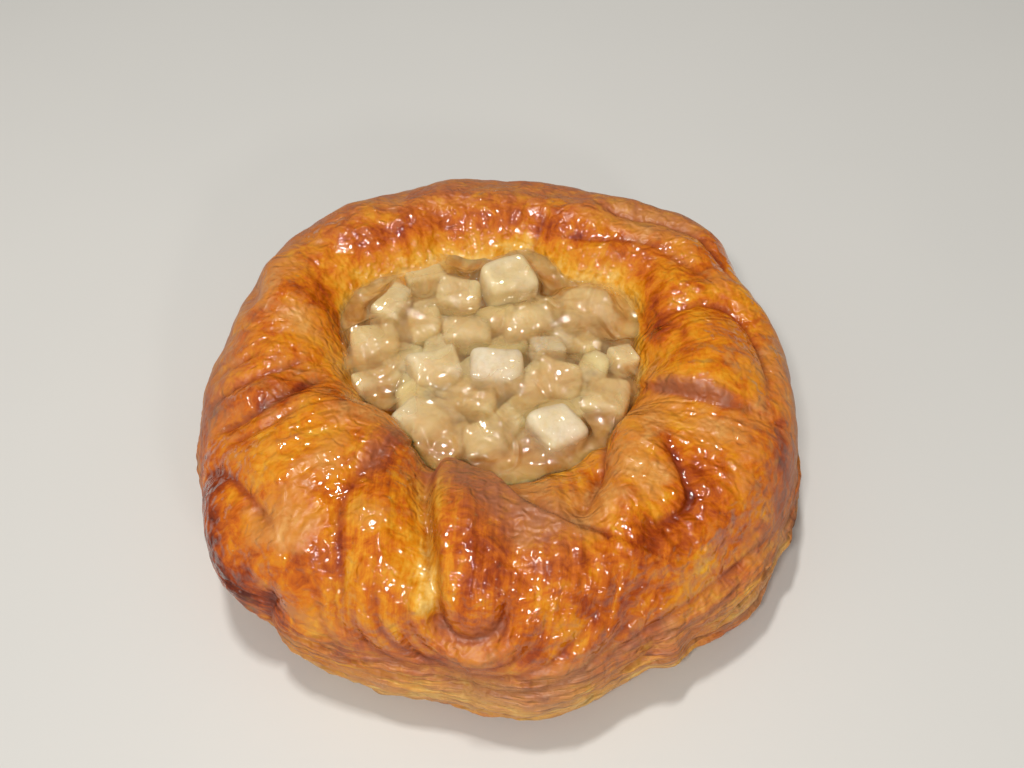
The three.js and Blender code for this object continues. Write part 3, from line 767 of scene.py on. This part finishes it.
class Drape:
    """Jelly lying over the fruit, as a height over each point of the well."""

    BLEND = 3.6  # mm over which one die's cover runs into the next
    REACH = 12.5  # mm from a die's middle within which it is felt
    TOP = 36.0  # mm, above everything

    def __init__(self, plan, rows):
        self.plan = plan
        self.shift = wobble(plan)
        self.rows = [(row, np.flatnonzero(np.hypot(*(plan - row[:2]).T) < self.REACH)) for row in rows]

    def distance(self, height, start, film=0, veil=0):
        """Smooth distance from each point at its height to the fruit, no more than start.

        Film is what clings to the whitest of the fruit, and veil what the dullest has over that."""
        distance = start.copy()
        for row, close in self.rows:
            at = np.column_stack([self.plan[close], height[close]]) + self.shift[close]
            other = die_distance(at, row) - film - veil * (1 - row[-1])
            share = np.clip(0.5 + 0.5 * (other - distance[close]) / self.BLEND, 0, 1)
            distance[close] = (other + (distance[close] - other) * share
                               - self.BLEND * share * (1 - share))
        return distance

    def height(self, level):
        """Comes down from the top until the jelly or the fruit under it is met."""
        height = np.full(len(self.plan), self.TOP)
        for _ in range(50):
            height = height - np.maximum(self.distance(height, height - level, FILM, VEIL), 0) * 0.8
        return height


def jelly_finish():
    """Clear where it is thin over the fruit or the wall, and cloudy where it is deep."""
    jelly = Finish("jelly", Specular_IOR_Level=1.0, IOR=2.0, Roughness=0.02)
    here = jelly.place()
    depth = jelly.attribute("depth")
    swirls = jelly.noise(here, 130.0, 3.0, 0.55, 0.6)
    clouded = (depth * 0.45 + 0.5 * (swirls - 0.5)).between(-0.04, 1.05)
    jelly.set("Base Color", jelly.ramp(clouded, [(0.0, "#f4da9e"), (1.0, "#dca964")]))
    jelly.set("Alpha", jelly.attribute("cover") * 0.16 + 0.3 * clouded)
    cloudy = jelly.cover_with(clouded * 0.76, Specular_IOR_Level=1.0, IOR=1.5, Roughness=0.03,
                              Subsurface_Weight=1.0, Subsurface_Scale=0.005,
                              Subsurface_Radius=(1.0, 0.7, 0.4))
    jelly.set("Base Color", jelly.mix(swirls.between(0.35, 0.65), shade("#bc7e36"), shade("#deb26e")), cloudy)
    ripples = jelly.noise(here, 170.0, 0.0, 0.4, 1.4)
    wavelets = jelly.noise(here, 380.0, 0.0, 0.5, 1.0)
    normal = jelly.bump(ripples + 0.22 * wavelets, 0.002, 0.95)
    jelly.set("Normal", normal)
    jelly.set("Normal", normal, cloudy)
    return jelly.material


def wall_contact(angle, height):
    """The section angle at which the well's wall has a height, for each column of the mesh."""
    around = np.linspace(118, 180, 63)
    every_angle, every_around = (grid.ravel() for grid in np.meshgrid(angle, around, indexing="ij"))
    points, *_ = dough_points(every_angle, every_around)
    heights = points[:, 2].reshape(COLUMNS, -1)
    below, column = np.argmax(heights < height[:, None], axis=1), np.arange(COLUMNS)
    upper, lower = heights[column, below - 1], heights[column, below]
    return around[below - 1] + (upper - height) / (upper - lower) * (around[1] - around[0])


def jelly(rows, sunken):
    floor_rows, wall_rows, surface_rows = 4, 12, 104
    bm, angle, row = closed_tube(floor_rows + wall_rows + surface_rows)
    edge_row = floor_rows + wall_rows
    on_top = row > edge_row
    share = np.where(on_top, (edge_row + surface_rows - row) / surface_rows, np.minimum(row / floor_rows, 1))
    column_angle = np.arange(COLUMNS) * 360 / COLUMNS
    column_climb = JELLY_CLIMB + bulges(column_angle, CLIMB_BULGES)
    column = np.rint(angle * COLUMNS / 360).astype(int) % COLUMNS
    column_contact = wall_contact(column_angle, JELLY_LEVEL + column_climb)
    either_side = 8  # columns over which the line of contact is evened out
    steps = range(-either_side, either_side + 1)
    contact = np.mean([np.roll(column_contact, step) for step in steps], axis=0)[column]
    around = WALL_FOOT + (contact - WALL_FOOT) * np.clip((row - floor_rows) / wall_rows, 0, 1)
    wall, _, normal, _ = dough_points(angle, around)
    edge = wall - JELLY_INTO_DOUGH * normal
    bottom = FLOOR_HEIGHT - JELLY_INTO_DOUGH
    middle = np.stack([0 * share, 0 * share + WELL_SHIFT, np.where(on_top, JELLY_LEVEL, bottom)], -1)
    points = middle + (edge - middle) * share[:, None]
    from_edge = (1 - share[on_top]) * np.linalg.norm((edge - middle)[on_top, :2], axis=1)
    free = np.maximum(from_edge - JELLY_INTO_DOUGH, 0)
    climb = edge[on_top, 2] - JELLY_LEVEL
    level = JELLY_LEVEL + climb * np.exp(-free / 1.8) + JELLY_HEAP * smoothstep(2, 12, free)
    ceiling = edge[on_top, 2] + 1.1 * free  # fruit at the wall doesn't lift the jelly's edge
    height = Drape(points[on_top, :2], rows).height(level) + 0.3 * grain(points[on_top] * (1, 1, 0), 3.2, 2.2)
    height = np.minimum(height, ceiling)
    points[on_top, 2] = height
    move_to(bm, points * MM)
    bmesh.ops.recalc_face_normals(bm, faces=bm.faces)
    piece = new_piece("jelly_fill", bm, jelly_finish())
    depth = np.full(len(points), 4.0)
    all_fruit = Drape(points[on_top, :2], rows + sunken)
    # it clouds sooner at the front, where the wall is hidden
    clouding = 1.3 - 0.5 * np.sin(np.radians(angle[on_top]))
    depth[on_top] = np.clip(all_fruit.distance(height, clouding * free), 0, 4)
    set_attribute(piece, "depth", depth)
    cover = np.ones(len(points))
    cover[on_top] = smoothstep(0, 3, free)
    set_attribute(piece, "cover", cover)
    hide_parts("jelly")


# ---- floor, light, camera ----

def floor_finish():
    board = Finish("pale_floor", Roughness=0.6)
    tone = board.noise(board.place(), 6.0, 3.0)
    board.set("Base Color", board.mix(tone, shade("#d2d3d1"), shade("#dcdcd9")))
    return board.material


def stage_floor():
    bm = bmesh.new()
    bmesh.ops.create_grid(bm, x_segments=2, y_segments=2, size=2.0)
    mesh = bpy.data.meshes.new("floor")
    bm.to_mesh(mesh)
    bm.free()
    floor = bpy.data.objects.new("floor", mesh)
    bpy.context.scene.collection.objects.link(floor)
    mesh.materials.append(floor_finish())


def area_light(name, place_m, aim_m, size, power, code):
    light = bpy.data.lights.new(name, "AREA")
    light.shape = "RECTANGLE"
    light.size, light.size_y = size
    light.energy = power
    light.color = shade(code)[:3]
    lamp = bpy.data.objects.new(name, light)
    bpy.context.scene.collection.objects.link(lamp)
    lamp.location = place_m
    lamp.rotation_euler = (Vector(aim_m) - Vector(place_m)).to_track_quat("-Z", "Y").to_euler()


def lights():
    """Soft light from a pale room, and small lamps that glint on what is wet."""
    area_light("overhead", (-0.06, 0.03, 0.62), (0, 0, 0.02), (0.08, 0.04), 1.7, "#fffaf4")
    area_light("front lamp", (-0.12, -0.34, 0.50), (0, 0, 0.02), (0.05, 0.035), 1.1, "#fffaf4")
    area_light("low front lamp", (0.22, -0.56, 0.34), (0, 0, 0.02), (0.07, 0.07), 0.5, "#fffaf4")
    toward_front, dim, bright = (-0.35, -0.70, 0.62), 0.11, 0.42  # the room is brighter at the front
    world = bpy.data.worlds.new("studio")
    bpy.context.scene.world = world
    world.use_nodes = True
    nodes, links = world.node_tree.nodes, world.node_tree.links
    nodes["Background"].inputs["Color"].default_value = shade("#fffcf6")
    facing = nodes.new("ShaderNodeVectorMath")
    facing.operation = "DOT_PRODUCT"
    facing.inputs[1].default_value = toward_front
    links.new(nodes.new("ShaderNodeTexCoord").outputs["Generated"], facing.inputs[0])
    brighter = nodes.new("ShaderNodeMapRange")
    brighter.interpolation_type = "SMOOTHSTEP"
    for socket, value in {"From Min": -0.4, "From Max": 0.9, "To Min": dim, "To Max": bright}.items():
        brighter.inputs[socket].default_value = value
    links.new(facing.outputs["Value"], brighter.inputs["Value"])
    links.new(brighter.outputs[0], nodes["Background"].inputs["Strength"])


def camera():
    """The photo's view: from the front, 54 degrees above the level, 260 mm from the base's middle."""
    focal_pixels, distance, elevation = 1200.0, 260.0, math.radians(54.0)
    base_pixel = (492.0, 455.0)  # where the middle of the base lies in the 1024 x 768 frame
    down = elevation - math.atan2(base_pixel[1] - 384, focal_pixels)
    yaw = math.atan2(512 - base_pixel[0], focal_pixels)
    forward = Vector((math.sin(yaw) * math.cos(down), math.cos(yaw) * math.cos(down), -math.sin(down)))
    lens = bpy.data.cameras.new("camera")
    lens.sensor_width = 36.0
    lens.lens = focal_pixels * 36.0 / 1024
    lens.clip_start = 0.01
    view = bpy.data.objects.new("camera", lens)
    bpy.context.scene.collection.objects.link(view)
    view.location = Vector((0, -math.cos(elevation), math.sin(elevation))) * distance * MM
    view.rotation_euler = forward.to_track_quat("-Z", "Y").to_euler()
    bpy.context.scene.camera = view
    bpy.context.scene.view_settings.view_transform = "Standard"


random.seed(7)
dough()
sunken = sunken_rows()
dice(FRUIT, sunken)
jelly(FRUIT, sunken)
stage_floor()
lights()
camera()
